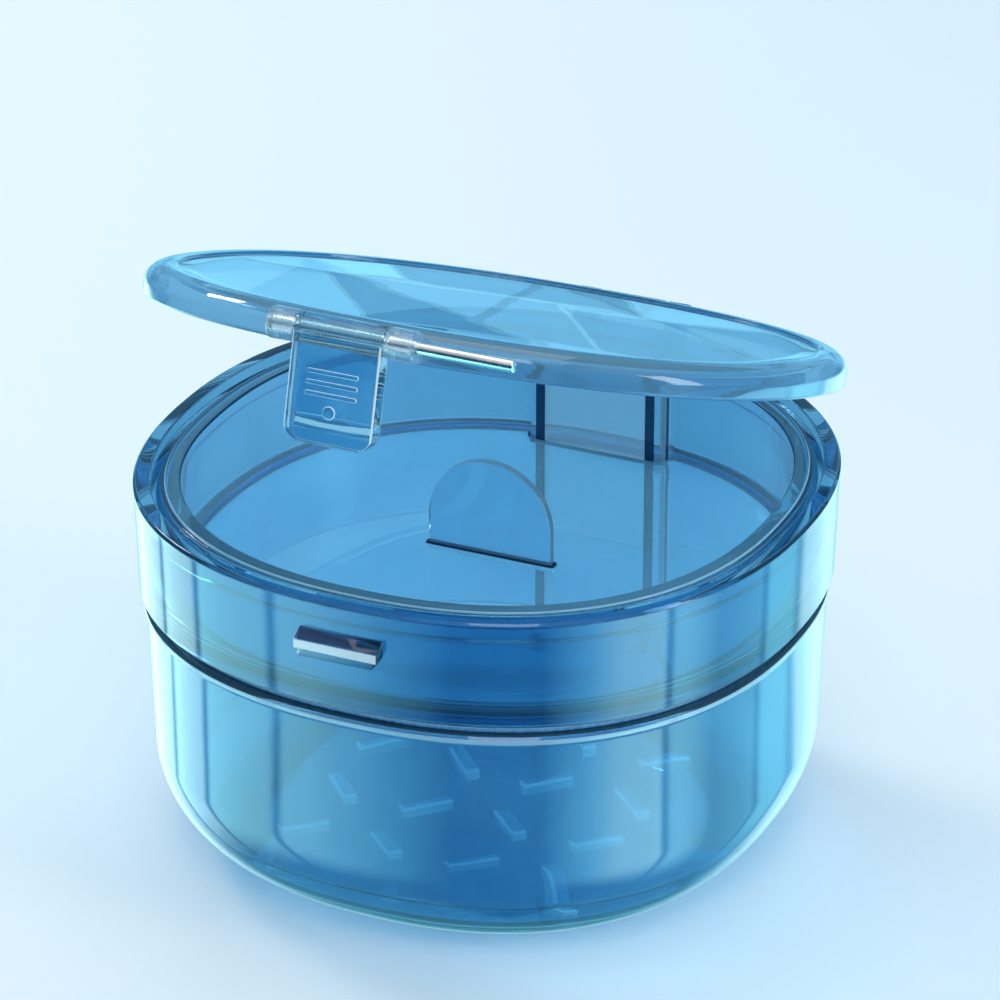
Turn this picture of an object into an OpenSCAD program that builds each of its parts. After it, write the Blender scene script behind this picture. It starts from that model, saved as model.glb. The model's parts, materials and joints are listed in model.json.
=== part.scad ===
// Pill crusher: a clear rounded-square case with a toothed bowl, an upper ring with
// an inner well, a sliding press plate, and a hinged lid with a swinging latch.
// Origin: centre of the base where it stands. +Z up, hinge at +Y, latch at -Y.

/* [Body] */
// Width of the rim, flat to flat
body_w = 85; // [82:1:95]
// Height of the body from the base to the rim
body_h = 49; // [46:0.5:60]
// Exponent of the plan outline: 2 is a circle, more is squarer
plan_power = 2.26; // [2:0.02:2.5]

/* [Bowl] */
// Height of the bowl's outer wall
bowl_h = 33.4; // [31:0.1:33.5]
// Width of the flat underside
base_w = 53; // [50:1:60]
// Height of the large rounding under the wall
round_h = 14.5; // [12:0.5:15]
// Height of the spigot that the upper ring slides over
spigot_h = 2.4; // [2:0.1:6]
// Thickness of the floor
floor_t = 3.6; // [3:0.1:4]

/* [Crushing teeth] */
// Rows of teeth each way
tooth_rows = 4; // [2:1:4]
// Distance between the rows
tooth_pitch = 11.4; // [10:0.1:12]
// Length, width and height of one tooth
tooth_size = [6.7, 2, 1.2];

/* [Upper ring] */
// Gap between bowl and ring that holds the seal
seam_gap = 1.3; // [1:0.1:2]
// Wall thickness at the rim
rim_wall = 2.1; // [1.6:0.1:2.5]
// Depth of the inner ledge below the rim
ledge_depth = 1.3; // [1:0.1:2]

/* [Inner well] */
// Clear width of the well
well_w = 73.6; // [72:0.2:74]
// Wall thickness of the sleeve
sleeve_wall = 1.4; // [1:0.1:1.5]
// Width of the guide column at the hinge side
column_w = 19; // [14:0.5:22]
// How far the guide column stands into the well
column_depth = 3.4; // [2.5:0.1:5]

/* [Press plate] */
// Depth of the plate's top below the rim
plate_depth = 13.1; // [13:0.1:16]
// Thickness of the plate
plate_t = 1.5; // [1:0.1:2]
// Width, height and thickness of the finger grip
grip_size = [16.7, 12.7, 1.1];
// Length and width of the grip's foot, which fills a slot in the plate
foot_size = [17.6, 1.7];
// Distance of the grip behind the middle
grip_y = 0.85; // [0:0.05:2]

/* [Lid] */
// Angle that the lid stands open
lid_open = 20; // [0:1:90]
// Thickness of the lid at its border
lid_t = 4; // [3.5:0.1:5]
// Height of the hinge axis above the rim
hinge_rise = 1.9; // [1.8:0.1:2.4]
// Distance of the hinge axis behind the rim
hinge_back = 3.5; // [3.2:0.1:4]
// Outer radius of the hinge knuckles
hinge_r = 1.6; // [1.4:0.1:1.8]

/* [Latch] */
// Diameter of both steel pins
pin_d = 1.5; // [1.2:0.1:1.8]
// Bare length of the latch pin beside its knuckle
pin_bare = 12.2; // [0:0.1:15]
// Distance of the latch pin in front of the lid's edge
pin_reach = 3.65; // [3.4:0.05:4]
// Width of the latch
latch_w = 11.2; // [8:0.2:14]
// Length of the latch below its pin
latch_l = 13; // [12.6:0.1:16]
// Lean of the locked latch towards the wall
latch_lean = 8; // [7:0.5:9]
// Angle of the latch away from its locked place
latch_rest = 3.5; // [3.5:0.5:100]

/* [Hidden] */
$fn = 48;
plan_steps = 96;
loft_steps = 72;
cut = 1;             // how far a cutting solid runs past the surface it cuts
fit = 0.3;           // air between pieces that slide
snug = 0.05;         // radial clearance of a pin that turns
seat = 0.01;         // radial clearance of a pin that is held

half_w = body_w / 2;
bowl_half = half_w - 1.2;
ring_low = bowl_h + seam_gap;
ledge_z = body_h - ledge_depth;
ledge_t = 2;
spigot_half = half_w - 2.9;
spigot_wall = 1.1;
ring_inner = spigot_half + fit;
well_half = well_w / 2;
sleeve_half = well_half + sleeve_wall;
sleeve_low = 8.8;
flange_half = half_w - rim_wall - 1.2;
flange_t = 0.7;
lip_half = sleeve_half + 0.5;
lip_t = 0.9;
column_front = well_half - column_depth;
column_round = 2.3;
column_back = half_w;
plate_top = body_h - plate_depth;
plate_half = well_half - fit;

hinge_y = half_w + hinge_back;
hinge_z = body_h + hinge_rise;
knuckle_half = 4.3;
ear_t = 3.2;
lid_half = half_w - 0.2;
lid_low = body_h + 0.1;
lid_top = lid_low + lid_t;
lid_wall = 2.1;
lid_panel = 1.7;
panel_half = lid_half - 3.8;
panel_sink = 0.35;

pin_r = pin_d / 2;
barrel_r = 1.9;
pin_y = -(lid_half + pin_reach);
pin_z = body_h + 2.5;
lug_w = 3.4;
lug_gap = 0.2;
catch_w = 10.8;
catch_y = -(half_w + 1.4);

clear_blue = [0.45, 0.75, 0.95, 0.5];
deep_blue = [0.25, 0.55, 0.85, 0.6];
seal_grey = [0.45, 0.52, 0.6];
steel = [0.8, 0.8, 0.82];

// Plan outline: a superellipse of half width w
function plan_radius(w, a) =
    w / pow(pow(abs(cos(a)), plan_power) + pow(abs(sin(a)), plan_power), 1 / plan_power);
function plan(w, steps) = [
    for (i = [0 : steps - 1])
        let (a = 360 * i / steps)
        plan_radius(w, a) * [cos(a), sin(a)]
];

// Part of an ellipse in a list of points
function arc(centre, rx, ry, from, to, steps) = [
    for (k = [0 : steps])
        let (a = from + (to - from) * k / steps)
        centre + [rx * cos(a), ry * sin(a)]
];

// Straight-sided body of the plan outline
module slab(w, low, high) {
    translate([0, 0, low])
        linear_extrude(high - low)
            polygon(plan(w, plan_steps));
}

// Body that follows the plan outline through [half width, height] sections
module loft(sections) {
    count = loft_steps;
    points = [
        for (s = sections)
            for (p = plan(s[0], count))
                [p[0], p[1], s[1]]
    ];
    sides = [
        for (k = [0 : len(sections) - 2])
            for (i = [0 : count - 1])
                let (j = (i + 1) % count, low = k * count, high = low + count)
                each [[low + i, high + i, high + j], [low + i, high + j, low + j]]
    ];
    bottom = [for (i = [0 : count - 1]) i];
    top = [for (i = [0 : count - 1]) len(points) - 1 - i];
    polyhedron(points, concat([bottom, top], sides));
}

// Guide column, with its two front corners rounded
module column(width, front, low, high) {
    side = width / 2 - column_round;
    translate([0, 0, low])
        linear_extrude(high - low)
            polygon(concat(
                [[-width / 2, column_back]],
                arc([-side, front + column_round], column_round, column_round, 180, 270, 6),
                arc([side, front + column_round], column_round, column_round, 270, 360, 6),
                [[width / 2, column_back]]));
}

// Cylinder along X, centred on x
module bar(radius, length, x, y, z) {
    translate([x - length / 2, y, z])
        rotate([0, 90, 0])
            cylinder(h = length, r = radius);
}

// Outline in the Y-Z plane, drawn out along X
module side_profile(outline, low, high) {
    translate([low, 0, 0])
        rotate([90, 0, 90])
            linear_extrude(high - low)
                polygon(outline);
}

// Swings a piece about an axis along X, with its front end up
module swing(y, z, angle) {
    translate([0, y, z])
        rotate([-angle, 0, 0])
            translate([0, -y, -z])
                children();
}

module teeth() {
    first = -(tooth_rows - 1) / 2 * tooth_pitch;
    sink = 0.4;
    for (i = [0 : tooth_rows - 1])
        for (j = [0 : tooth_rows - 1])
            translate([first + i * tooth_pitch, first + j * tooth_pitch, floor_t - sink])
                rotate([0, 0, (i + j) % 2 == 0 ? 45 : -45])
                    translate([-tooth_size[0] / 2, -tooth_size[1] / 2, 0])
                        cube([tooth_size[0], tooth_size[1], tooth_size[2] + sink]);
}

module base_bowl() {
    wall_half = bowl_half - 0.6;
    base_half = base_w / 2;
    bead = 0.25;
    lower_half = well_half + 0.1;
    corner = 4.5;
    color(clear_blue) {
        difference() {
            union() {
                loft(concat(
                    arc([base_half, round_h], wall_half - base_half, round_h, -90, 0, 6),
                    [[bowl_half, bowl_h - 1.3],
                     [bowl_half + bead, bowl_h - 0.9],
                     [bowl_half + bead, bowl_h - 0.4],
                     [bowl_half - 0.1, bowl_h]]));
                slab(spigot_half, bowl_h - cut, bowl_h + spigot_h);
            }
            difference() {
                loft(concat(
                    arc([lower_half - corner, floor_t + corner], corner, corner, -90, 0, 4),
                    [[lower_half, sleeve_low + cut]]));
                column(column_w, column_front, 0, sleeve_low + 2 * cut);
            }
            slab(spigot_half - spigot_wall, sleeve_low - 0.1, bowl_h + spigot_h + cut);
        }
        teeth();
    }
}

module seam_seal() {
    color(seal_grey)
        difference() {
            slab(bowl_half - 0.9, bowl_h, ring_low - 0.1);
            slab(spigot_half + 0.02, bowl_h - cut, ring_low + cut);
        }
}

// Raised wedge that the latch hooks under, with a smaller block below it
module catch() {
    root = -(half_w - 1);
    side_profile([
        [root, body_h - 3.8], [catch_y + 1.9, body_h - 3.8], [catch_y, body_h - 4.8],
        [catch_y, body_h - 6.1], [root, body_h - 6.1]], -catch_w / 2, catch_w / 2);
    side_profile([
        [root, body_h - 5.9], [catch_y + 0.1, body_h - 5.9],
        [catch_y + 0.1, body_h - 7], [root, body_h - 7]],
        -catch_w / 2 + 0.4, catch_w / 2 - 0.6);
}

// One ear of the rear hinge, standing on the ring's back wall
module hinge_ear(x) {
    root = half_w - 1;
    side_profile([
        [root, body_h - 7], [root + 1.6, body_h - 7], [hinge_y + hinge_r, body_h - 1.5],
        [hinge_y + hinge_r, hinge_z], [hinge_y - hinge_r, hinge_z],
        [hinge_y - hinge_r, body_h - 0.2], [root, body_h - 0.2]], x, x + ear_t);
    bar(hinge_r, ear_t, x + ear_t / 2, hinge_y, hinge_z);
}

module upper_ring() {
    color(clear_blue)
        difference() {
            union() {
                loft([[half_w - 0.8, ring_low], [half_w - 0.45, ring_low + 0.4],
                      [half_w - 0.05, body_h - 0.8], [half_w, body_h - 0.4],
                      [half_w - 0.3, body_h]]);
                catch();
                hinge_ear(knuckle_half + fit);
                hinge_ear(-knuckle_half - fit - ear_t);
            }
            slab(ring_inner, ring_low - cut, ledge_z - ledge_t);
            slab(sleeve_half + fit, ledge_z - ledge_t - cut, ledge_z + cut);
            slab(half_w - rim_wall, ledge_z, body_h + cut);
            bar(pin_r + seat, 4 * hinge_y, 0, hinge_y, hinge_z);
        }
}

module inner_sleeve() {
    color(deep_blue)
        difference() {
            union() {
                slab(sleeve_half, sleeve_low, ledge_z + flange_t);
                slab(flange_half, ledge_z, ledge_z + flange_t);
                slab(lip_half, ledge_z, ledge_z + lip_t);
            }
            difference() {
                slab(well_half, sleeve_low - cut, body_h + cut);
                column(column_w, column_front, 0, body_h + 2 * cut);
            }
            column(column_w - 2 * sleeve_wall, column_front + sleeve_wall, 0, ledge_z - 1);
        }
}

module press_plate() {
    color(clear_blue)
        difference() {
            slab(plate_half, plate_top - plate_t, plate_top);
            column(column_w + 2 * fit, column_front - fit, 0, body_h);
            translate([-foot_size[0] / 2, grip_y - foot_size[1] / 2, plate_top - plate_t - cut])
                cube([foot_size[0], foot_size[1], plate_t + 2 * cut]);
        }
}

module grip_tab() {
    radius = grip_size[0] / 2;
    straight = grip_size[1] - radius;
    foot = [foot_size[0] - 2 * seat, foot_size[1] - 2 * seat];
    color(deep_blue) {
        translate([0, grip_y + grip_size[2] / 2, plate_top])
            rotate([90, 0, 0])
                linear_extrude(grip_size[2])
                    polygon(concat(
                        [[radius, -plate_t / 2]],
                        arc([0, straight], radius, radius, 0, 180, 24),
                        [[-radius, -plate_t / 2]]));
        translate([-foot[0] / 2, grip_y - foot[1] / 2, plate_top - plate_t])
            cube([foot[0], foot[1], plate_t + 0.2]);
    }
}

module hinge_pin() {
    length = 2 * (knuckle_half + fit + ear_t);
    color(steel)
        bar(pin_r, length, 0, hinge_y, hinge_z);
}

// One lug of the lid's front edge that carries the latch pin
module pin_lug(x) {
    root = -(lid_half - lid_wall + 0.7);
    bar(barrel_r, lug_w, x, pin_y, pin_z);
    side_profile([
        [root, lid_low + 0.3], [pin_y, pin_z - barrel_r], [pin_y, pin_z + barrel_r],
        [root, lid_top - 0.9]], x - lug_w / 2, x + lug_w / 2);
}

module lid() {
    shoulder = [2.7, 2.4];
    lug_x = latch_w / 2 + lug_gap + lug_w / 2;
    web = [2 * knuckle_half, hinge_y - lid_half + lid_wall - 0.6, 3.2];
    color(clear_blue)
        swing(hinge_y, hinge_z, lid_open)
            difference() {
                union() {
                    loft(concat(
                        [[lid_half - 0.3, lid_low], [lid_half, lid_low + 0.3]],
                        arc([lid_half - shoulder[0], lid_top - shoulder[1]],
                            shoulder[0], shoulder[1], 0, 90, 5)));
                    pin_lug(-lug_x);
                    pin_lug(lug_x);
                    bar(hinge_r, 2 * knuckle_half, 0, hinge_y, hinge_z);
                    translate([-web[0] / 2, hinge_y - web[1], lid_low + 0.2])
                        cube(web);
                }
                slab(lid_half - lid_wall, lid_low - cut, lid_top - lid_panel);
                slab(panel_half, lid_top - panel_sink, lid_top + cut);
                bar(pin_r + snug, 4 * knuckle_half, 0, hinge_y, hinge_z);
                bar(pin_r + seat, 4 * lug_x, 0, pin_y, pin_z);
            }
}

module latch_pin() {
    low = -(latch_w / 2 + lug_gap + lug_w);
    high = -low + pin_bare;
    color(steel)
        swing(hinge_y, hinge_z, lid_open)
            bar(pin_r, high - low, (low + high) / 2, pin_y, pin_z);
}

module latch() {
    low = pin_z - latch_l;
    side = latch_w / 2;
    corner = 2;
    face_in = pin_y + 0.5;
    face_out = pin_y - barrel_r;
    hook_tip = pin_y + 1.1;
    hook_top = pin_z - 9.85;
    color(clear_blue)
        swing(hinge_y, hinge_z, lid_open)
            swing(pin_y, pin_z, latch_rest - latch_lean)
                difference() {
                    union() {
                        bar(barrel_r, latch_w, 0, pin_y, pin_z);
                        translate([0, face_in, 0])
                            rotate([90, 0, 0])
                                linear_extrude(face_in - face_out)
                                    polygon(concat(
                                        [[side, pin_z], [-side, pin_z]],
                                        arc([-side + corner, low + corner], corner, corner,
                                            180, 270, 6),
                                        arc([side - corner, low + corner], corner, corner,
                                            270, 360, 6)));
                        side_profile([
                            [face_in - 0.5, hook_top - 1.75], [face_in, hook_top - 1.75],
                            [hook_tip, hook_top - 0.4], [hook_tip, hook_top],
                            [face_in - 0.5, hook_top]], -side + 0.6, side - 0.6);
                    }
                    bar(pin_r + snug, 2 * latch_w, 0, pin_y, pin_z);
                }
}

base_bowl();
seam_seal();
upper_ring();
inner_sleeve();
press_plate();
grip_tab();
hinge_pin();
lid();
latch_pin();
latch();
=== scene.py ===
"""Looks of the clear blue pill crusher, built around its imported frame."""

import json
import math

import bmesh
import bpy
from mathutils import Matrix, Vector


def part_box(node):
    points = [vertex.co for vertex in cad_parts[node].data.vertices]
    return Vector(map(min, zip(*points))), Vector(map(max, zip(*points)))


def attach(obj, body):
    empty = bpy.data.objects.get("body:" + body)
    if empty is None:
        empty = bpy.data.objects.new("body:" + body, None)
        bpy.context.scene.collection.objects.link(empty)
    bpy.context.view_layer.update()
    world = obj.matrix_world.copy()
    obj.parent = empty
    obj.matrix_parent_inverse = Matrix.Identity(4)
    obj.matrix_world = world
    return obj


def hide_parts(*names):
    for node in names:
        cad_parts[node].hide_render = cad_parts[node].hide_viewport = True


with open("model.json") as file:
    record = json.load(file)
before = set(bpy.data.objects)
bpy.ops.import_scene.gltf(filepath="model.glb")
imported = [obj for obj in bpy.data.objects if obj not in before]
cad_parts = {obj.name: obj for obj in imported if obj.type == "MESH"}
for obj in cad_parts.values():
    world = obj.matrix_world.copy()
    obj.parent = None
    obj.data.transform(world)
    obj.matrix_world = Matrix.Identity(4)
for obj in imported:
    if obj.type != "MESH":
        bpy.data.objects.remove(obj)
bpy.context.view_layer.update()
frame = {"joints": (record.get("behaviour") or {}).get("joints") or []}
joints = {j["name"]: j for j in frame["joints"]}
MM = 0.001

# ---------------------------------------------------------------- sizes of the case, in mm
POWER = 2.26  # exponent of the plan outline
BODY_H = 49.0  # rim above the base
HALF_W = 42.5  # half width of the rim
BOWL_H = 33.4  # shoulder of the bowl, under the seam
RING_LOW = 34.7  # lower edge of the upper ring
LEDGE_Z = 47.7  # ledge in the ring that carries the sleeve
SPIGOT, SPIGOT_TOP = 39.6, 35.8  # half width and top of the bowl's spigot inside the ring
WELL = 36.8  # half width of the well
SLEEVE = 38.2  # half width of the sleeve's outside
SLEEVE_LOW = 8.8
FLOOR = 3.6  # inside of the bowl's floor
COLUMN = (9.5, 33.4, 2.3)  # half width, front and corner radius of the guide column
COLUMN_HOLLOW = (8.1, 34.8, 1.2)  # the same for the hollow at its back
PLATE_TOP = 35.9
PLATE_T = 1.5
HINGE_Y, HINGE_Z = (joints["lid_hinge"]["pos_m"][i] / MM for i in (1, 2))
HINGE_R = 1.6  # radius of ears and knuckle
KNUCKLE = 4.3  # half width of the knuckle
EAR_T = 3.2
LID_HALF = 42.3  # half width of the lid
LID_LOW, LID_TOP = 49.1, 53.1  # lid and latch are drawn with the lid shut, then turned open
LID_OPEN = math.radians(20)
PIN_Y, PIN_Z = -45.95, 51.5  # latch pin
PIN_R = 0.75
BARREL_R = 1.9  # radius of the lugs and of the latch round the pin
LATCH_W = 11.2
LUG_W = 3.4
LATCH_L = 13.0  # from the pin down to the latch's end
LATCH_LEAN = math.radians(-4.5)


# ---------------------------------------------------------------- outlines and meshes
ARC_STEPS = 216
BACK_STEPS = (6, 8, 8)  # steps on each fillet, column corner and half of the column front
FILLET_STEPS = 4
SOFT = 0.7  # radius where the column leaves the wall
SQUARE = 0.15  # exponent of the slot outline: near 0 it is a rectangle
SHARP = 35  # degrees between faces above which an edge stays sharp
BEVEL_FROM = math.radians(40)  # angle between faces above which an edge is rounded


def on_outline(w, angle):
    """Point of the plan outline of half width w at an angle."""
    r = w / (abs(math.cos(angle)) ** POWER + abs(math.sin(angle)) ** POWER) ** (1 / POWER)
    return r * math.cos(angle), r * math.sin(angle)


def edge_y(w, x):
    """Y of the back of the plan outline of half width w at x."""
    return max(w**POWER - abs(x) ** POWER, 0) ** (1 / POWER)


def ellipse(x, z, rx, rz, start, end, steps):
    """Arc of an ellipse, from one angle in degrees to another."""
    span = [math.radians(start + (end - start) * k / steps) for k in range(steps + 1)]
    return [(x + rx * math.cos(a), z + rz * math.sin(a)) for a in span]


def circle(x, z, r, start=0, steps=44):
    """Full circle from an angle in degrees, whose last stretch closes it."""
    return ellipse(x, z, r, r, start, start + 352, steps)


def outline(w, column, notched):
    """Plan outline of half width w. If notched and wide enough, its back has the guide column cut out."""
    fillet_n, corner_n, front_n = BACK_STEPS
    half, front, radius = column
    wall = edge_y(w, half + SOFT)
    reach = SOFT
    notched = notched and wall > front + 0.3
    # A shallow notch gets smaller roundings, and an outline with no notch shares its number of points
    if notched:
        reach = min(SOFT, 0.4 * (wall - front))
        radius = min(radius, 0.6 * (wall - front))
    side = ellipse(half + SOFT, wall - reach, SOFT, reach, 90, 180, fillet_n + 1)[1:]
    side += ellipse(half - radius, front + radius, radius, radius, 0, -90, corner_n)
    side += [((half - radius) * (1 - i / front_n), front) for i in range(1, front_n)]
    middle = (0.0, front)
    shrink = min(1, 0.6 * w / (half + SOFT))
    if not notched:
        side = [(x * shrink, edge_y(w, x * shrink)) for x, _ in side]
        middle = (0.0, w)
    start = math.atan2(edge_y(w, (half + SOFT) * shrink), (half + SOFT) * shrink)
    turn = math.pi + 2 * start
    points = [on_outline(w, math.pi - start + turn * i / ARC_STEPS) for i in range(ARC_STEPS + 1)]
    return points + side + [middle] + [(-x, y) for x, y in reversed(side)]


def fillet(profile):
    """Rounds the corners of a [(half width, height, radius), ...] profile."""
    out = []
    for i, (x, z, r) in enumerate(profile):
        if not r or i in (0, len(profile) - 1):
            out.append((x, z))
            continue
        here = Vector((x, z))
        a = Vector(profile[i - 1][:2]) - here
        b = Vector(profile[i + 1][:2]) - here
        half = a.angle(b) / 2
        cut = min(r / math.tan(half), 0.45 * a.length, 0.45 * b.length)
        p, q = here + a.normalized() * cut, here + b.normalized() * cut
        for k in range(FILLET_STEPS + 1):
            t = k / FILLET_STEPS
            out.append(tuple((1 - t) ** 2 * p + 2 * t * (1 - t) * here + t * t * q))
    return out


def slot_ring(size, y, z):
    """Rounded slot outline at a height, point for point with a plan outline."""
    loop = []
    for px, py in outline(WELL, COLUMN, False):
        angle = math.atan2(py, px)
        c, q = math.cos(angle), math.sin(angle)
        x_here = size[0] / 2 * math.copysign(abs(c) ** SQUARE, c)
        y_here = y + size[1] / 2 * math.copysign(abs(q) ** SQUARE, q)
        loop.append(Vector((x_here, y_here, z)))
    return loop


def rings(profile, column=None):
    """One outline per profile point, notched for the column if one is given."""
    notched = column is not None
    return [[Vector((x, y, z)) for x, y in outline(w, column or COLUMN, notched)] for w, z in profile]


def smooth(mesh):
    """Shades a mesh smooth except at its sharp edges."""
    mesh.polygons.foreach_set("use_smooth", [True] * len(mesh.polygons))
    mesh.set_sharp_from_angle(angle=math.radians(SHARP))


def finish_mesh(name, bm):
    """Makes an object of a bmesh in mm, with clean outward normals and smooth shading."""
    bmesh.ops.remove_doubles(bm, verts=bm.verts, dist=1e-4)
    bmesh.ops.recalc_face_normals(bm, faces=bm.faces)
    bmesh.ops.scale(bm, vec=(MM, MM, MM), verts=bm.verts)
    mesh = bpy.data.meshes.new(name)
    bm.to_mesh(mesh)
    bm.free()
    smooth(mesh)
    obj = bpy.data.objects.new(name, mesh)
    bpy.context.scene.collection.objects.link(obj)
    return obj


def skin(bm, loops, closed=False):
    """Skins a list of outlines: closed on itself, or capped to a point at both ends."""
    rows = [[bm.verts.new(p) for p in loop] for loop in loops]
    n = len(rows[0])
    pairs = list(zip(rows, rows[1:] + rows[:1])) if closed else list(zip(rows, rows[1:]))
    for low, high in pairs:
        for i in range(n):
            j = (i + 1) % n
            bm.faces.new((low[i], low[j], high[j], high[i]))
    if not closed:
        for row in (rows[0], rows[-1]):
            middle = bm.verts.new(sum((v.co for v in row), Vector()) / n)
            for i in range(n):
                bm.faces.new((row[i], row[(i + 1) % n], middle))


def loft(name, loops, closed=False):
    """Makes an object of one skin over a list of outlines."""
    bm = bmesh.new()
    skin(bm, loops, closed)
    return finish_mesh(name, bm)


def prism(name, outline_2d, low, high, axis, bevel):
    """Draws a 2D outline out along an axis and rounds its edges.

    Along X the outline is (y, z), along Y it is (x, z) and along Z it is (x, y).
    """
    place = {
        "X": lambda p, d: (d, p[0], p[1]),
        "Y": lambda p, d: (p[0], d, p[1]),
        "Z": lambda p, d: (p[0], p[1], d),
    }[axis]
    bm = bmesh.new()
    a = [bm.verts.new(place(p, low)) for p in outline_2d]
    b = [bm.verts.new(place(p, high)) for p in outline_2d]
    n = len(a)
    for i in range(n):
        bm.faces.new((a[i], a[(i + 1) % n], b[(i + 1) % n], b[i]))
    bm.faces.new(a)
    bm.faces.new(b)
    bmesh.ops.recalc_face_normals(bm, faces=bm.faces)
    edges = [e for e in bm.edges if len(e.link_faces) == 2 and e.calc_face_angle(0) > BEVEL_FROM]
    bmesh.ops.bevel(bm, geom=edges, offset=bevel, segments=3, profile=0.5, affect="EDGES")
    return finish_mesh(name, bm)


def round_box(size, radius, steps=5):
    """Rounded rectangle outline round (0, 0)."""
    w, h = size[0] / 2 - radius, size[1] / 2 - radius
    points = []
    for cx, cy, start in ((w, h, 0), (-w, h, 90), (-w, -h, 180), (w, -h, 270)):
        points += ellipse(cx, cy, radius, radius, start, start + 90, steps)
    return points


def union(obj, other):
    """Makes one skin of obj and another piece, which is then removed."""
    modifier = obj.modifiers.new("union", "BOOLEAN")
    modifier.object = other
    modifier.operation = "UNION"
    modifier.solver = "EXACT"
    bpy.context.view_layer.update()
    graph = bpy.context.evaluated_depsgraph_get()
    mesh = bpy.data.meshes.new_from_object(obj.evaluated_get(graph))
    obj.modifiers.clear()
    obj.data = mesh
    mesh.materials.clear()
    smooth(mesh)
    bpy.data.objects.remove(other)
    return obj


def assign_face_materials(obj, materials, chosen):
    """Gives obj its materials, and each face the one whose number chosen(centre in mm, normal) returns.
    This is how the painted highlights and painted shade lines go on the faces.
    """
    for material in materials:
        obj.data.materials.append(material)
    for face in obj.data.polygons:
        face.material_index = int(chosen(face.center / MM, face.normal))
    return obj


def faces_out(c, n):
    """How far a face looks away from the case's middle line: above 0 is outwards."""
    return n.x * c.x + n.y * c.y


def swing(obj, y, z, angle):
    """Turns a piece about an axis along X, with its front end up, and writes the turn into its mesh."""
    pivot = Matrix.Translation((0, y * MM, z * MM))
    obj.data.transform(pivot @ Matrix.Rotation(-angle, 4, "X") @ pivot.inverted())
    return obj


def with_lid(obj):
    """Opens a piece drawn with the lid shut."""
    return swing(obj, HINGE_Y, HINGE_Z, LID_OPEN)


def with_latch(obj):
    """Leans a piece of the latch on its pin, then opens it with the lid."""
    return with_lid(swing(obj, PIN_Y, PIN_Z, LATCH_LEAN))


def add(obj, body, slot, material, *nodes):
    """Puts a piece on its body with its material, in place of the CAD nodes it stands for. The slot is not
    used.
    """
    if not obj.data.materials:
        obj.data.materials.append(material)
    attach(obj, body)
    if nodes:
        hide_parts(*nodes)
    return obj


# ---------------------------------------------------------------- materials
PLASTIC_IOR = 1.47
SHADOW_TINT = (0.80, 0.865, 0.905, 1)  # what one wall lets through to its shadow


def node_tree(name):
    """New material, with its tree, shader and output."""
    material = bpy.data.materials.new(name)
    material.use_nodes = True
    tree = material.node_tree
    return material, tree, tree.nodes["Principled BSDF"], tree.nodes["Material Output"]


def noise(tree, scale, detail=2.0, rough=0.5, stretch=(1, 1, 1)):
    """Noise in object space, in features per metre."""
    place = tree.nodes.new("ShaderNodeTexCoord")
    mapping = tree.nodes.new("ShaderNodeMapping")
    mapping.inputs["Scale"].default_value = stretch
    texture = tree.nodes.new("ShaderNodeTexNoise")
    texture.inputs["Scale"].default_value = scale
    texture.inputs["Detail"].default_value = detail
    texture.inputs["Roughness"].default_value = rough
    tree.links.new(place.outputs["Object"], mapping.inputs["Vector"])
    tree.links.new(mapping.outputs["Vector"], texture.inputs["Vector"])
    return texture.outputs["Fac"]


def spread(tree, value, low, high):
    """Maps the middle of a noise to a range."""
    node = tree.nodes.new("ShaderNodeMapRange")
    node.inputs["From Min"].default_value = 0.3
    node.inputs["From Max"].default_value = 0.7
    node.inputs["To Min"].default_value = low
    node.inputs["To Max"].default_value = high
    tree.links.new(value, node.inputs["Value"])
    return node.outputs["Result"]


def blend_colours(tree, factor, a, b):
    """Colour between a and b."""
    node = tree.nodes.new("ShaderNodeMix")
    node.data_type = "RGBA"
    node.inputs["A"].default_value = (*a, 1)
    node.inputs["B"].default_value = (*b, 1)
    tree.links.new(factor, node.inputs["Factor"])
    return node.outputs["Result"]


def bump(tree, height, distance):
    """Bumps of a height in metres, at half strength."""
    node = tree.nodes.new("ShaderNodeBump")
    node.inputs["Distance"].default_value = distance
    node.inputs["Strength"].default_value = 0.5
    tree.links.new(height, node.inputs["Height"])
    return node.outputs["Normal"]


def clear_plastic(name, tint_a, tint_b, milk, rough=(0.002, 0.008), wave=0.00005):
    """Tinted clear moulded plastic, with slow waves in its skin and a milkiness from 0 to 1."""
    material, tree, shader, out = node_tree(name)
    slow = noise(tree, 55, 1.0)
    fine = noise(tree, 400, 1.0)
    tint = blend_colours(tree, spread(tree, slow, 0, 1), tint_a, tint_b)
    tree.links.new(tint, shader.inputs["Base Color"])
    tree.links.new(spread(tree, fine, *rough), shader.inputs["Roughness"])
    tree.links.new(bump(tree, slow, wave), shader.inputs["Normal"])
    shader.inputs["Transmission Weight"].default_value = 1 - milk
    shader.inputs["IOR"].default_value = PLASTIC_IOR
    path = tree.nodes.new("ShaderNodeLightPath")
    through = tree.nodes.new("ShaderNodeBsdfTransparent")
    through.inputs["Color"].default_value = SHADOW_TINT
    mix = tree.nodes.new("ShaderNodeMixShader")
    tree.links.new(path.outputs["Is Shadow Ray"], mix.inputs[0])
    tree.links.new(shader.outputs["BSDF"], mix.inputs[1])
    tree.links.new(through.outputs["BSDF"], mix.inputs[2])
    tree.links.new(mix.outputs["Shader"], out.inputs["Surface"])
    return material


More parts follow.
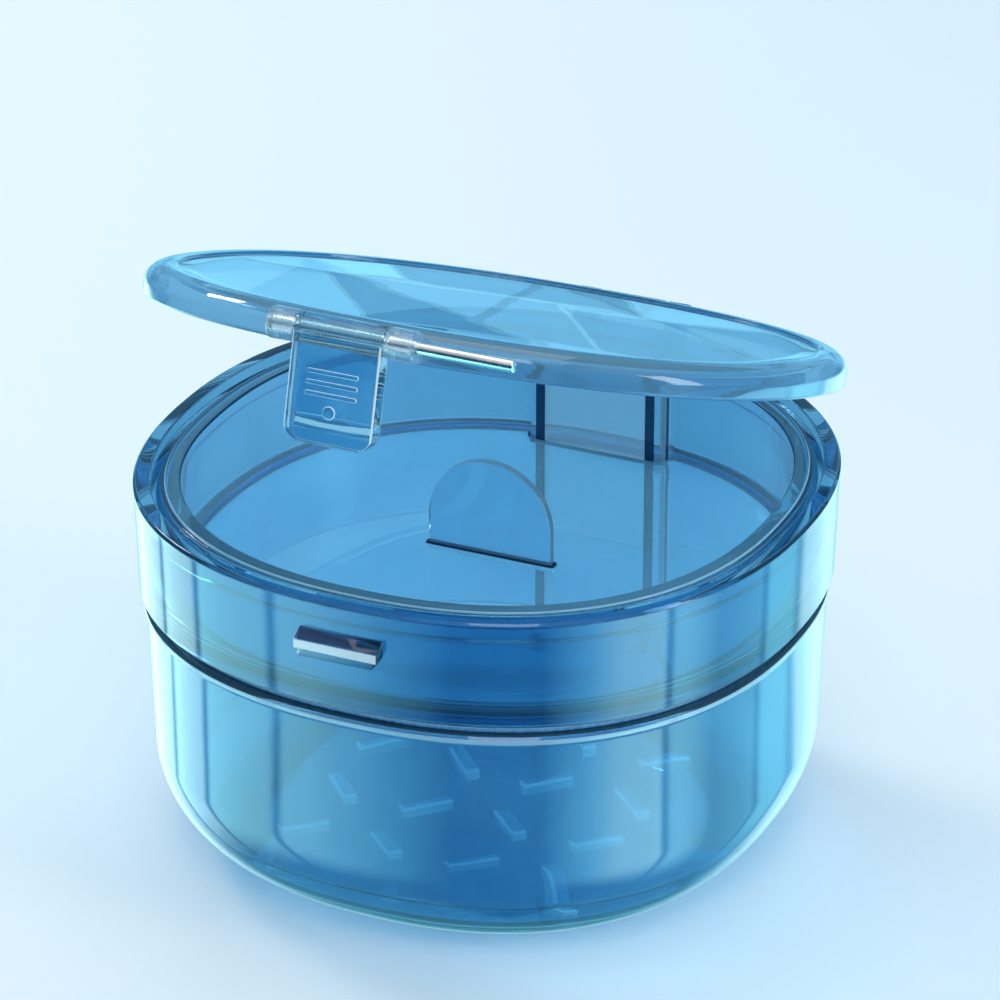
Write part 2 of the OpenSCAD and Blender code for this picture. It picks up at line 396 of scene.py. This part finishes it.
def steel_wire(name):
    """Ground steel wire: fine rings round the pin and a little smudging."""
    material, tree, shader, _ = node_tree(name)
    ground = noise(tree, 900, 2.0, 0.5, (1, 0.02, 0.02))
    smudge = noise(tree, 260, 2.0)
    colour = blend_colours(tree, spread(tree, smudge, 0, 1), (0.74, 0.75, 0.77), (0.84, 0.85, 0.86))
    tree.links.new(colour, shader.inputs["Base Color"])
    tree.links.new(spread(tree, ground, 0.22, 0.32), shader.inputs["Roughness"])
    tree.links.new(bump(tree, ground, 0.000004), shader.inputs["Normal"])
    shader.inputs["Metallic"].default_value = 1.0
    return material


def seal_rubber(name):
    """Grey-blue seal with a fine skin texture."""
    material, tree, shader, _ = node_tree(name)
    grain = noise(tree, 1500, 3.0)
    colour = blend_colours(tree, spread(tree, grain, 0, 1), (0.11, 0.34, 0.62), (0.18, 0.44, 0.74))
    tree.links.new(colour, shader.inputs["Base Color"])
    tree.links.new(spread(tree, grain, 0.2, 0.35), shader.inputs["Roughness"])
    tree.links.new(bump(tree, grain, 0.00003), shader.inputs["Normal"])
    return material


# The real case looks like one clear blue plastic. Here each piece has a tint of its own, lighter or darker
# as painted light and painted shade,
# and some edges a dark or milky one: painted shade lines and painted highlights for the dark and bright
# lines that refraction draws in it.
clear = clear_plastic("clear_blue_plastic", (0.25, 0.55, 0.72), (0.20, 0.50, 0.69), 0.03)
# Dark tint for the flat faces of the bowl's floor, so the inside reads deep blue: painted shade.
floor_shade_blue = clear_plastic("painted_shade_floor", (0.06, 0.26, 0.41), (0.04, 0.22, 0.38), 0.03)
clear_ring = clear_plastic("clear_ring_plastic", (0.14, 0.41, 0.62), (0.10, 0.36, 0.58), 0.03)
clear_lid = clear_plastic(
    "clear_lid_plastic", (0.24, 0.56, 0.78), (0.19, 0.50, 0.74), 0.04, (0.001, 0.004), 0.000012
)
# Milky tint for the outside of the lid's border, standing in for its soft sheen: painted light.
lid_rim = clear_plastic("lid_border_plastic", (0.19, 0.47, 0.67), (0.16, 0.43, 0.64), 0.4)
# Light, slightly milky tint for the press plate: painted light.
clear_plate = clear_plastic("clear_plate_plastic", (0.50, 0.82, 0.95), (0.44, 0.78, 0.93), 0.13)
# Paler tint for the lugs round the latch pin, so they read bright: painted light.
lug_light_tint = clear_plastic("painted_light_lug_plastic", (0.76, 0.91, 0.97), (0.70, 0.87, 0.95), 0.12)
# Near-white milky edges that stand in for glints: painted highlights.
painted_glint = clear_plastic("painted_glint_edge", (0.90, 0.98, 1.0), (0.84, 0.95, 0.99), 0.85)
# Pale milky tint for beads and edges that read bright: painted highlights.
bead = clear_plastic("lit_bead", (0.60, 0.88, 0.97), (0.52, 0.84, 0.95), 0.5)
# Half-milky pale tint for the teeth's sides, so they show up bright: painted light.
painted_light_teeth = clear_plastic("tooth_plastic", (0.70, 0.90, 0.97), (0.64, 0.87, 0.95), 0.45)
# Near-black tints for painted shade: dark lines and shaded faces in place of the dark lines that refraction
# draws.
dark_tints = (0.012, 0.05, 0.12), (0.006, 0.035, 0.09)
navy = clear_plastic("shaded_edge", *dark_tints, 0.1)
painted_dark_line = clear_plastic("painted_dark_edge", *dark_tints, 0.9)
smoke = clear_plastic("latch_plastic", (0.36, 0.68, 0.83), (0.30, 0.62, 0.79), 0.03)
deep = clear_plastic("deep_blue_plastic", (0.62, 0.87, 0.98), (0.54, 0.82, 0.96), 0.14)
# Pale milky tint for the column's front: painted light.
pale_wall = clear_plastic("pale_wall_plastic", (0.76, 0.94, 1.0), (0.70, 0.91, 1.0), 0.5)
steel = steel_wire("steel_wire")
rubber = seal_rubber("seal_rubber")

# ---------------------------------------------------------------- lower bowl
base_half, round_h = 26.5, 14.5  # flat underside, and height of the large rounding
wall_low, bead_half = 40.7, 41.55  # half widths above the rounding and at the bead under the seam
inner, chamber = 38.5, 36.9  # half widths of the inside, above and below its shoulder
shoulder_z = 8.7
chamber_r = 4.5

# Here and below, flat stretches get a few rings of their own, which keeps their faces well shaped
outer = [(13, 0), (25, 0)]
outer += ellipse(base_half, round_h, wall_low - base_half, round_h, -90, 0, 26)
outer += fillet(
    [
        (wall_low, round_h + 1, 0),
        (bead_half - 0.25, BOWL_H - 1.3, 0.3),
        (bead_half, BOWL_H - 0.9, 0.2),
        (bead_half, BOWL_H - 0.4, 0.2),
        (bead_half - 0.35, BOWL_H, 0.2),
        (SPIGOT, BOWL_H, 0.1),
        (SPIGOT, SPIGOT_TOP, 0.3),
        (inner, SPIGOT_TOP, 0.3),
        (inner, 20, 0),
    ]
)
step_in = fillet(
    [
        (inner, 15, 0),
        (inner, shoulder_z, 0.15),
        (chamber, shoulder_z, 0.25),
        (chamber, shoulder_z - 0.5, 0),
    ]
)
# Below its shoulder the bowl's own wall carries the guide column on, down to the floor
above, below = step_in[:6], step_in[6:]
below += ellipse(chamber - chamber_r, FLOOR + chamber_r, chamber_r, chamber_r, 0, -90, 9)
bowl_loops = rings(outer) + rings(above) + rings(below, COLUMN)
bowl_loops += rings([(28, FLOOR), (20, FLOOR), (10, FLOOR)])
bowl = loft("bowl_shell", bowl_loops)

# Teeth: a square field of chamfered ridges on the floor, turned to one side and the other by turns
in_a_row, pitch = 4, 11.4
mid_row = (in_a_row - 1) / 2
tooth_l, tooth_w, tooth_h = 6.7, 2.0, 1.2
chamfer = 0.3


def tooth(i, j):
    """Outlines of one tooth, from inside the floor up to its top."""
    turned = Matrix.Rotation(math.radians(45 if (i + j) % 2 == 0 else -45), 4, "Z")
    spot = Matrix.Translation(((i - mid_row) * pitch, (j - mid_row) * pitch, FLOOR)) @ turned
    levels = []
    for inset, z in ((0, -0.5), (0, tooth_h - chamfer), (chamfer, tooth_h)):
        box = round_box((tooth_l - 2 * inset, tooth_w - 2 * inset), 0.3, 3)
        levels.append([spot @ Vector((x, y, z)) for x, y in box])
    return levels


teeth = bmesh.new()
for i in range(in_a_row):
    for j in range(in_a_row):
        skin(teeth, tooth(i, j))
union(bowl, finish_mesh("teeth", teeth))


def bowl_faces(c, n):
    """Picks the teeth's ends and top edges for a painted glint (1), their sides for painted light (4), the
    floor's flat faces for painted shade (2) and the bead for a painted highlight (3).
    """
    in_field = max(abs(c.x), abs(c.y)) < 2.2 * pitch
    if in_field and FLOOR + 0.1 < c.z < FLOOR + tooth_h - 0.01 and n.z < 0.95:
        even = (round(c.x / pitch + mid_row) + round(c.y / pitch + mid_row)) % 2 == 0
        end = abs(n.x + (n.y if even else -n.y)) > 0.5
        return 1 if end or c.z > FLOOR + tooth_h - chamfer else 4
    if BOWL_H - 1 < c.z < BOWL_H - 0.3 and faces_out(c, n) > 0:
        return 3
    return 2 if abs(n.z) > 0.95 and c.z < FLOOR + 0.1 else 0


assign_face_materials(bowl, (clear, painted_glint, floor_shade_blue, bead, painted_light_teeth), bowl_faces)
add(bowl, "base", "clear_blue", clear, "base_bowl")

seal_in, seal_out = SPIGOT + 0.05, 40.4
seal_low, seal_mid, seal_top = 33.45, 34.0, 34.55
seal_profile = fillet(
    [
        (seal_in, seal_mid, 0),
        (seal_in, seal_low, 0.1),
        (seal_out, seal_low, 0.3),
        (seal_out, seal_top, 0.3),
        (seal_in, seal_top, 0.1),
        (seal_in, seal_mid + 0.1, 0),
    ]
)
seal = loft("seam_seal_ring", rings(seal_profile), closed=True)
add(seal, "base", "seal_grey", rubber, "seam_seal")

# ---------------------------------------------------------------- upper ring with its catch and ears
ring_in, rim_in = 39.9, 40.4  # half widths inside, below the ledge and above it
# Four fine ribs inside the foot of the ring, which show through its wall as lines
rib_pitch, rib_half, rib_h = 0.7, 0.16, 0.05
ribs = []
for k in range(4):
    z = RING_LOW + 3.0 - rib_pitch * k
    ribs += [(ring_in, z + rib_half, 0), (ring_in - rib_h, z, 0), (ring_in, z - rib_half, 0)]
ring_profile = fillet(
    [
        (ring_in, RING_LOW + 0.4, 0),
        (ring_in, RING_LOW, 0.15),
        (HALF_W - 0.8, RING_LOW, 0.2),
        (HALF_W - 0.45, RING_LOW + 0.4, 0.2),
        (HALF_W - 0.05, BODY_H - 0.8, 0),
        (HALF_W, BODY_H - 0.4, 0.25),
        (HALF_W - 0.3, BODY_H, 0.25),
        (rim_in, BODY_H, 0.25),
        (rim_in, LEDGE_Z, 0.1),
        (SLEEVE + 0.3, LEDGE_Z, 0.15),
        (SLEEVE + 0.3, LEDGE_Z - 2, 0.15),
        (ring_in, LEDGE_Z - 2, 0.3),
        *ribs,
    ]
)
ring = loft("ring_shell", rings(ring_profile), closed=True)


def ring_faces(c, n):
    """Picks the outer edge at the foot of the ring, which gets a painted highlight."""
    return c.z < RING_LOW + 0.35 and faces_out(c, n) > 0 and n.z > -0.95


assign_face_materials(ring, (clear_ring, bead), ring_faces)
add(ring, "housing", "clear_blue", clear_ring, "upper_ring")

catch_y = -(HALF_W + 1.4)  # front of the catch
root = -(HALF_W - 0.6)  # its back, inside the ring's wall
catch_top, catch_edge, catch_low = BODY_H - 3.8, BODY_H - 6.1, BODY_H - 7
wedge = [
    (root, catch_top),
    (catch_y + 1.9, catch_top),
    (catch_y, catch_top - 1),
    (catch_y, catch_edge),
    (root, catch_edge),
]
block = [
    (root, catch_edge + 0.2),
    (catch_y + 0.1, catch_edge + 0.2),
    (catch_y + 0.1, catch_low),
    (root, catch_low),
]
catch = prism("catch_wedge", wedge, -5.4, 5.4, "X", 0.14)
union(catch, prism("catch_block", block, -5.0, 4.8, "X", 0.14))


def catch_faces(c, n):
    """Picks the catch's front, top edge and left side for a painted highlight (1) and its sloping face for
    painted shade (2).
    """
    if c.y > catch_y + 0.15 and 0.8 < n.z < 0.95:
        return 2
    front = n.y < -0.9 and c.z > catch_edge - 0.1
    top = n.z > 0.3 and c.z > catch_top - 0.2
    return front or top or n.x < -0.4


assign_face_materials(catch, (smoke, painted_glint, navy), catch_faces)
add(catch, "housing", "clear_blue", smoke)


def ear_profile():
    """Outline (y, z) of a hinge ear, from inside the ring's wall round the pin."""
    inside = HALF_W - 0.5
    low, high = BODY_H - 7, BODY_H - 0.6
    start = [(inside, low), (inside + 0.8, low), (HINGE_Y + HINGE_R, BODY_H - 1.5)]
    round_top = ellipse(HINGE_Y, HINGE_Z, HINGE_R, HINGE_R, 0, 180, 16)
    return start + round_top + [(HINGE_Y - HINGE_R, high), (inside, high)]


ear_in = KNUCKLE + 0.3
for side, name in ((1, "right"), (-1, "left")):
    low, high = sorted((side * ear_in, side * (ear_in + EAR_T)))
    ear = prism(f"hinge_ear_{name}", ear_profile(), low, high, "X", 0.3)
    add(ear, "housing", "clear_blue", clear)

pin_end = ear_in + EAR_T
pin = prism("rear_hinge_pin", circle(HINGE_Y, HINGE_Z, PIN_R), -pin_end, pin_end, "X", 0.1)
add(pin, "housing", "steel", steel, "hinge_pin")

# ---------------------------------------------------------------- inner sleeve, press plate and grip
flange, lip = 39.2, 38.7  # half widths of the flange on the ledge and of the lip on it
outside = fillet([(SLEEVE, SLEEVE_LOW, 0), (SLEEVE, LEDGE_Z - 1, 0)])
over = fillet(
    [
        (SLEEVE, LEDGE_Z - 1, 0),
        (SLEEVE, LEDGE_Z, 0.05),
        (flange, LEDGE_Z, 0.05),
        (flange, LEDGE_Z + 0.7, 0.2),
        (lip, LEDGE_Z + 0.7, 0.05),
        (lip, LEDGE_Z + 0.9, 0.1),
        (lip - 0.6, LEDGE_Z + 0.9, 0),
    ]
)
down = fillet(
    [
        (lip - 0.9, LEDGE_Z + 0.9, 0),
        (WELL, LEDGE_Z + 0.9, 0.3),
        (WELL, SLEEVE_LOW, 0.2),
        (WELL + 0.3, SLEEVE_LOW, 0),
    ]
)
sleeve_loops = rings(outside, COLUMN_HOLLOW) + rings(over) + rings(down, COLUMN)
sleeve = loft("well_sleeve", sleeve_loops, closed=True)


def sleeve_faces(c, n):
    """Picks the rim's inner edge and the column's corners for painted dark lines (1), the flange (2), the
    column's front for painted light (3), the step for a painted highlight (4).
    """
    half, front, radius = COLUMN
    at_corner = half - radius < abs(c.x) < half + 0.01 and front - 0.01 < c.y < front + radius
    if at_corner and (abs(n.y) > 0.98 or abs(n.y) < 0.2):
        return 1
    if abs(c.x) < half - radius and abs(c.y - front) < 0.1:
        return 3
    if c.z > LEDGE_Z + 0.5 and abs(n.z) < 0.95 and faces_out(c, n) < -1:
        return 1
    if c.z > LEDGE_Z + 0.7 and faces_out(c, n) > 1:
        return 4
    return 2 if c.z > LEDGE_Z - 0.1 else 0


assign_face_materials(sleeve, (deep, painted_dark_line, smoke, pale_wall, bead), sleeve_faces)
add(sleeve, "housing", "deep_blue", deep, "inner_sleeve")

play = 0.3  # between plate and sleeve
plate_column = (COLUMN[0] + play, COLUMN[1] - play, COLUMN[2] + play)
plate_half = WELL - play
plate_low = PLATE_TOP - PLATE_T
grip_y, slot = 0.85, (17.6, 1.7)  # place and size of the slot for the grip
edge = fillet(
    [
        (30, plate_low, 0),
        (plate_half, plate_low, 0.2),
        (plate_half, PLATE_TOP, 0.2),
        (34, PLATE_TOP, 0),
    ]
)
plate_loops = [slot_ring(slot, grip_y, plate_low)]
plate_loops += rings([(24, plate_low), (30, plate_low), *edge[1:-1]], plate_column)
plate_loops += rings([(30, PLATE_TOP), (24, PLATE_TOP)], plate_column)
plate_loops += [slot_ring(slot, grip_y, PLATE_TOP)]
plate = loft("press_plate_disc", plate_loops, closed=True)


def plate_faces(c, n):
    """Picks the plate's outer edge, which gets a painted dark line."""
    return Vector((c.x, c.y)).length > 32 and abs(n.z) < 0.97 and c.z > plate_low + 0.1


assign_face_materials(plate, (clear_plate, painted_dark_line), plate_faces)
add(plate, "press", "clear_blue", clear_plate, "press_plate")

grip_w, grip_h, grip_t = 16.7, 12.7, 1.1
grip_low = PLATE_TOP - 0.9
grip_r = grip_w / 2
arch = ellipse(0, PLATE_TOP + grip_h - grip_r, grip_r, grip_r, 0, 180, 48)
tab_outline = [(grip_r, grip_low), *arch, (-grip_r, grip_low)]
tab = prism("finger_grip", tab_outline, grip_y - grip_t / 2, grip_y + grip_t / 2, "Y", 0.25)
foot_outline = [(x, y + grip_y) for x, y in round_box((slot[0] - 0.2, slot[1] - 0.2), 0.3)]
foot_bar = prism("grip_foot_bar", foot_outline, plate_low, PLATE_TOP + 0.2, "Z", 0.12)
union(tab, foot_bar)
# The grip's foot bar in the slot is darkened: painted shade.
assign_face_materials(tab, (deep, navy), lambda c, n: c.z < PLATE_TOP + 0.25)
add(tab, "press", "deep_blue", deep, "grip_tab")

# ---------------------------------------------------------------- lid with its lugs and knuckle
panel, border = 38.5, 39.6  # half widths of the sunk panel and of the border's crest
hollow = 40.2  # half width of the hollow underneath
panel_top, panel_low = LID_TOP - 0.35, LID_TOP - 1.7
lid_profile = [(14, panel_top), (28, panel_top)]
lid_profile += fillet(
    [
        (36, panel_top, 0),
        (panel, panel_top, 0.12),
        (panel, LID_TOP, 0.12),
        (border, LID_TOP, 0),
    ]
)
lid_profile += ellipse(border, LID_TOP - 2.4, LID_HALF - border, 2.4, 90, 0, 12)[1:]
lid_profile += fillet(
    [
        (LID_HALF, LID_TOP - 2.8, 0),
        (LID_HALF, LID_LOW + 0.3, 0.15),
        (LID_HALF - 0.3, LID_LOW, 0.15),
        (hollow, LID_LOW, 0.3),
        (hollow, panel_low, 0.7),
        (36, panel_low, 0),
    ]
)
lid_profile += [(28, panel_low), (14, panel_low)]
lid = loft("lid_shell", rings(lid_profile))


def lid_faces(c, n):
    """Picks the outside of the lid's border, which gets a milky tint as painted light."""
    return faces_out(c, n) > 1 and n.z < 0.97 and c.z < LID_TOP - 0.1


assign_face_materials(lid, (clear_lid, lid_rim), lid_faces)
with_lid(lid)
add(lid, "lid", "clear_blue", clear_lid, "lid")

lug_root = -(LID_HALF - 1.0)


def lug_profile():
    """Outline (y, z) of a pin lug, from inside the lid's border round the pin."""
    start = [(lug_root, LID_TOP - 1.3), (PIN_Y + 0.6, PIN_Z + BARREL_R)]
    end = [(PIN_Y + 0.6, PIN_Z - BARREL_R), (lug_root, LID_LOW + 0.4)]
    return start + ellipse(PIN_Y, PIN_Z, BARREL_R, BARREL_R, 90, 270, 20) + end


lug_in = LATCH_W / 2 + 0.2
for side, name in ((1, "right"), (-1, "left")):
    low, high = sorted((side * lug_in, side * (lug_in + LUG_W)))
    lug = with_lid(prism(f"pin_lug_{name}", lug_profile(), low, high, "X", 0.22))
    # The lugs are paler than the lid: painted light.
    add(lug, "lid", "clear_blue", lug_light_tint)

# Knuckle behind, with a web that roots it in the lid's border
web_root = LID_HALF - 1.2
web = [(web_root, LID_LOW + 0.3), (HINGE_Y, HINGE_Z - HINGE_R + 0.2)]
web += ellipse(HINGE_Y, HINGE_Z, HINGE_R, HINGE_R, -80, 110, 20)
web += [(web_root, LID_TOP - 1.2)]
knuckle = with_lid(prism("lid_knuckle", web, -KNUCKLE, KNUCKLE, "X", 0.3))
add(knuckle, "lid", "clear_blue", clear)

pin_left, pin_right = (corner.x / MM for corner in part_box("latch_pin"))
front_pin = prism("latch_hinge_pin", circle(PIN_Y, PIN_Z, PIN_R), pin_left, pin_right, "X", 0.09)
add(with_lid(front_pin), "lid", "steel", steel, "latch_pin")

# ---------------------------------------------------------------- latch
face_in, face_out = PIN_Y + 0.5, PIN_Y - BARREL_R
half, low, corner = LATCH_W / 2, PIN_Z - LATCH_L, 2.0
flap_outline = [(half, PIN_Z), (-half, PIN_Z)]
flap_outline += ellipse(-half + corner, low + corner, corner, corner, 180, 270, 8)
flap_outline += ellipse(half - corner, low + corner, corner, corner, 270, 360, 8)
latch = prism("latch_flap", flap_outline, face_out, face_in, "Y", 0.2)
barrel = circle(PIN_Y, PIN_Z, BARREL_R, start=3)
union(latch, prism("latch_barrel", barrel, -half, half, "X", 0.15))
hook_top, hook_tip = PIN_Z - 9.85, PIN_Y + 1.1
hook_profile = [
    (face_in - 0.4, hook_top - 1.75),
    (face_in, hook_top - 1.75),
    (hook_tip, hook_top - 0.4),
    (hook_tip, hook_top),
    (face_in - 0.4, hook_top),
]
union(latch, prism("latch_hook", hook_profile, -half + 0.6, half - 0.6, "X", 0.1))

# Three plain ridges and a round nub on the flap, rooted a little way inside it
rooted = face_out + 0.3
ridge_size, ridge_h, ridge_pitch = (6.6, 0.55), 0.18, 1.3
for k in range(3):
    ridge_z = PIN_Z - 4.4 - ridge_pitch * k
    ridge = [(x, z + ridge_z) for x, z in round_box(ridge_size, 0.27, 4)]
    union(latch, prism(f"latch_ridge_{k}", ridge, face_out - ridge_h, rooted, "Y", 0.1))
nub_z, nub_r, nub_h = PIN_Z - 9.0, 0.8, 0.22
nub = circle(0, nub_z, nub_r, start=3, steps=24)
union(latch, prism("latch_nub", nub, face_out - nub_h, rooted, "Y", 0.15))


def latch_glint(c, n):
    """Picks the latch's rounded side edges, the ends of its ridges and the tip of its hook, for a painted
    glint.
    """
    side_edge = abs(c.x) > half - 0.21 and abs(n.y) > 0.1 and c.z < PIN_Z - BARREL_R
    raised = c.y < face_out - 0.02 and abs(n.y) < 0.95
    hook_edge = c.y > face_in + 0.1 and n.z > 0.3
    return side_edge or raised or hook_edge


assign_face_materials(latch, (smoke, painted_glint), latch_glint)
add(with_latch(latch), "latch", "clear_blue", smoke, "latch")

# ---------------------------------------------------------------- floor, light and camera
bpy.ops.mesh.primitive_plane_add(size=6)
floor = bpy.context.object
floor.name = "studio_floor"
material, tree, shader, _ = node_tree("pale_floor")
drift = spread(tree, noise(tree, 3, 1.0, 0.4, (1, 0.5, 1)), 0, 1)
floor_colour = blend_colours(tree, drift, (0.79, 0.885, 0.92), (0.85, 0.935, 0.96))
tree.links.new(floor_colour, shader.inputs["Base Color"])
shader.inputs["Roughness"].default_value = 0.45
floor.data.materials.append(material)
floor.visible_glossy = False

VIEW_TURN, VIEW_RISE = math.radians(24.3), math.radians(25.9)
NAVY, GAP, DIM = (0.003, 0.012, 0.028), (0.04, 0.16, 0.22), (0.12, 0.42, 0.52)
CYAN, BRIGHT, PALE = (0.31, 0.80, 0.86), (0.40, 0.72, 0.76), (0.30, 0.48, 0.53)
SOFT_PALE, SILHOUETTE = (0.21, 0.38, 0.43), (0.07, 0.13, 0.15)
GLOW, MID, SHADE = (0.48, 1.0, 1.0), (0.18, 0.60, 0.76), (0.09, 0.30, 0.37)
# Window panels round the case: degrees clockwise from the camera's side, and colour
SIDES = [
    (0, NAVY), (22, NAVY), (44, DIM), (60, CYAN), (69, CYAN), (72, GAP),
    (75, CYAN), (104, CYAN), (107, GAP), (110, BRIGHT), (129, BRIGHT), (132, GAP),
    (135, PALE), (156, PALE), (170, SILHOUETTE), (190, SILHOUETTE),
    (206, SOFT_PALE), (221, SOFT_PALE), (224, GAP), (227, SHADE), (240, DIM), (243, GAP),
    (246, SHADE), (268, SHADE), (284, CYAN), (289, CYAN), (292, GAP),
    (295, GLOW), (314, GLOW), (328, MID), (348, NAVY), (360, NAVY),
]
WINDOW_LIGHT = 12.0  # how much brighter the window panels are than their colours
SKY_SEEN = (0.78, 0.9, 0.98)  # plain sky that the camera sees in place of the panels


def studio_world():
    """Soft pale dome over the case, with blue panels and a darker front for the clear walls to mirror."""
    world = bpy.data.worlds.new("studio")
    bpy.context.scene.world = world
    world.use_nodes = True
    tree = world.node_tree

    def math_node(operation, *values):
        """Result of one operation on numbers and sockets."""
        node = tree.nodes.new("ShaderNodeMath")
        node.operation = operation
        for socket, value in zip(node.inputs, values):
            if isinstance(value, (int, float)):
                socket.default_value = value
            else:
                tree.links.new(value, socket)
        return node.outputs[0]

    def step(value, low, high):
        """Smooth step from 0 at low to 1 at high."""
        node = tree.nodes.new("ShaderNodeMapRange")
        node.interpolation_type = "SMOOTHSTEP"
        node.inputs["From Min"].default_value = low
        node.inputs["From Max"].default_value = high
        tree.links.new(value, node.inputs["Value"])
        return node.outputs["Result"]

    def mix(factor, a, b):
        """Colour between a and b, each a colour or a socket."""
        node = tree.nodes.new("ShaderNodeMix")
        node.data_type = "RGBA"
        if isinstance(factor, float):
            node.inputs["Factor"].default_value = factor
        else:
            tree.links.new(factor, node.inputs["Factor"])
        for key, value in (("A", a), ("B", b)):
            if isinstance(value, tuple):
                node.inputs[key].default_value = (*value, 1)
            else:
                tree.links.new(value, node.inputs[key])
        return node.outputs["Result"]

    place = tree.nodes.new("ShaderNodeTexCoord")
    facing = tree.nodes.new("ShaderNodeVectorRotate")
    facing.rotation_type = "Z_AXIS"
    facing.inputs["Angle"].default_value = -VIEW_TURN
    tree.links.new(place.outputs["Generated"], facing.inputs["Vector"])
    split = tree.nodes.new("ShaderNodeSeparateXYZ")
    tree.links.new(facing.outputs["Vector"], split.inputs[0])
    x, y, z = split.outputs
    turn = math_node("ARCTAN2", x, y)  # radians, 0 straight behind the case
    rise = math_node("ARCSINE", z)
    flat = tree.nodes.new("ShaderNodeCombineXYZ")
    tree.links.new(turn, flat.inputs[0])
    tree.links.new(rise, flat.inputs[1])

    def bricks(scale, angle, width, light, dark, gap):
        """Brick pattern of the world's directions, in two colours with gaps between."""
        mapping = tree.nodes.new("ShaderNodeMapping")
        mapping.inputs["Scale"].default_value = (*scale, 1)
        mapping.inputs["Rotation"].default_value[2] = math.radians(angle)
        tree.links.new(flat.outputs[0], mapping.inputs["Vector"])
        texture = tree.nodes.new("ShaderNodeTexBrick")
        texture.offset = 0.35
        texture.inputs["Scale"].default_value = 1.0
        texture.inputs["Brick Width"].default_value = width
        texture.inputs["Row Height"].default_value = 1.0
        texture.inputs["Mortar Size"].default_value = 0.03
        texture.inputs["Mortar Smooth"].default_value = 0.3
        for key, value in (("Color1", light), ("Color2", dark), ("Mortar", gap)):
            texture.inputs[key].default_value = (*value, 1)
        tree.links.new(mapping.outputs["Vector"], texture.inputs["Vector"])
        return texture.outputs["Color"]

    # Large blue panels all round, and small slanted ones in the stretch behind that the lid's top mirrors
    panels = bricks(
        scale=(5.5, 4), angle=0, width=1.1,
        light=(0.34, 0.85, 1.25), dark=(0.14, 0.55, 0.95), gap=(0.02, 0.10, 0.22),
    )
    narrow_shards = bricks(
        scale=(42, 150), angle=24, width=2.0,
        light=(0.75, 2.15, 3.0), dark=(0.06, 0.34, 0.70), gap=(0.4, 1.1, 1.5),
    )
    wide_shards = bricks(
        scale=(26, 90), angle=-16, width=1.4,
        light=(0.85, 2.2, 3.0), dark=(0.10, 0.50, 0.95), gap=(0.5, 1.2, 1.6),
    )
    shards = mix(0.35, narrow_shards, wide_shards)
    aside = math_node("ABSOLUTE", turn)
    behind = math_node("MULTIPLY", step(aside, 0.5, 0.3), step(rise, -0.13, -0.16))
    low = mix(behind, panels, shards)

    # Bright window panels low at the sides, for the upright walls to mirror, with a dark front between them
    ramp = tree.nodes.new("ShaderNodeValToRGB")
    stops = ramp.color_ramp.elements
    stops[0].position, stops[0].color = SIDES[0][0] / 360, (*SIDES[0][1], 1)
    stops[1].position, stops[1].color = SIDES[-1][0] / 360, (*SIDES[-1][1], 1)
    for angle, colour in SIDES[1:-1]:
        stops.new(angle / 360).color = (*colour, 1)
    tree.links.new(math_node("MULTIPLY_ADD", turn, 0.5 / math.pi, 0.5), ramp.inputs["Fac"])
    windows = tree.nodes.new("ShaderNodeVectorMath")
    windows.operation = "SCALE"
    windows.inputs["Scale"].default_value = WINDOW_LIGHT
    tree.links.new(ramp.outputs["Color"], windows.inputs[0])
    low = mix(step(aside, 1.9, 2.3), low, (0.015, 0.09, 0.2))
    under = mix(step(aside, 2.1, 2.7), (0.3, 1.2, 1.6), (0.02, 0.10, 0.2))
    window_light = mix(step(rise, -0.55, -0.95), windows.outputs[0], under)
    low = mix(step(rise, -0.28, -0.36), low, window_light)
    colour = mix(step(rise, 0.42, 0.85), low, (0.84, 0.92, 1.0))
    seen = tree.nodes.new("ShaderNodeLightPath").outputs["Is Camera Ray"]
    colour = mix(seen, colour, SKY_SEEN)
    sky = tree.nodes["Background"]
    sky.inputs["Strength"].default_value = 0.6
    tree.links.new(colour, sky.inputs["Color"])


studio_world()


def softbox(name, place, aim, size, power, colour=(1, 1, 1)):
    """Rectangular area light of a power in watts, aimed at a point."""
    light = bpy.data.lights.new(name, "AREA")
    light.shape = "RECTANGLE"
    light.size, light.size_y = size
    light.energy = power
    light.color = colour
    obj = bpy.data.objects.new(name, light)
    obj.location = place
    obj.rotation_euler = (Vector(aim) - Vector(place)).to_track_quat("-Z", "Y").to_euler()
    bpy.context.scene.collection.objects.link(obj)


rim_middle = (0, 0, 0.04)
body_middle = (0, 0, 0.03)
softbox("top", (-0.1, 0.2, 0.9), rim_middle, (0.6, 0.6), 2.0, (1, 0.98, 0.95))
softbox("front_high", (0.2, -0.5, 0.75), rim_middle, (0.3, 0.3), 1.2)
softbox("key_left", (-0.72, 0.28, 0.62), body_middle, (0.2, 0.2), 2.9)
softbox("side_right", (0.8, 0.0, 0.3), body_middle, (0.22, 0.5), 2.2)

# Camera at the photograph's angle, aimed at the middle of the rim
distance = 0.6823  # metres
back = Vector((
    math.sin(VIEW_TURN) * math.cos(VIEW_RISE),
    -math.cos(VIEW_TURN) * math.cos(VIEW_RISE),
    math.sin(VIEW_RISE),
))
camera_data = bpy.data.cameras.new("camera")
camera_data.lens = 199.1
camera_data.sensor_width = 36
camera_data.shift_x, camera_data.shift_y = 0.0118, -0.039
camera_data.clip_start = 0.05
camera = bpy.data.objects.new("camera", camera_data)
camera.location = Vector((0, 0, BODY_H * MM)) + back * distance
camera.rotation_euler = (-back).to_track_quat("-Z", "Y").to_euler()

scene = bpy.context.scene
scene.collection.objects.link(camera)
scene.camera = camera
scene.view_settings.view_transform = "Standard"
scene.cycles.max_bounces = 20
scene.cycles.transmission_bounces = 20
scene.cycles.transparent_max_bounces = 24
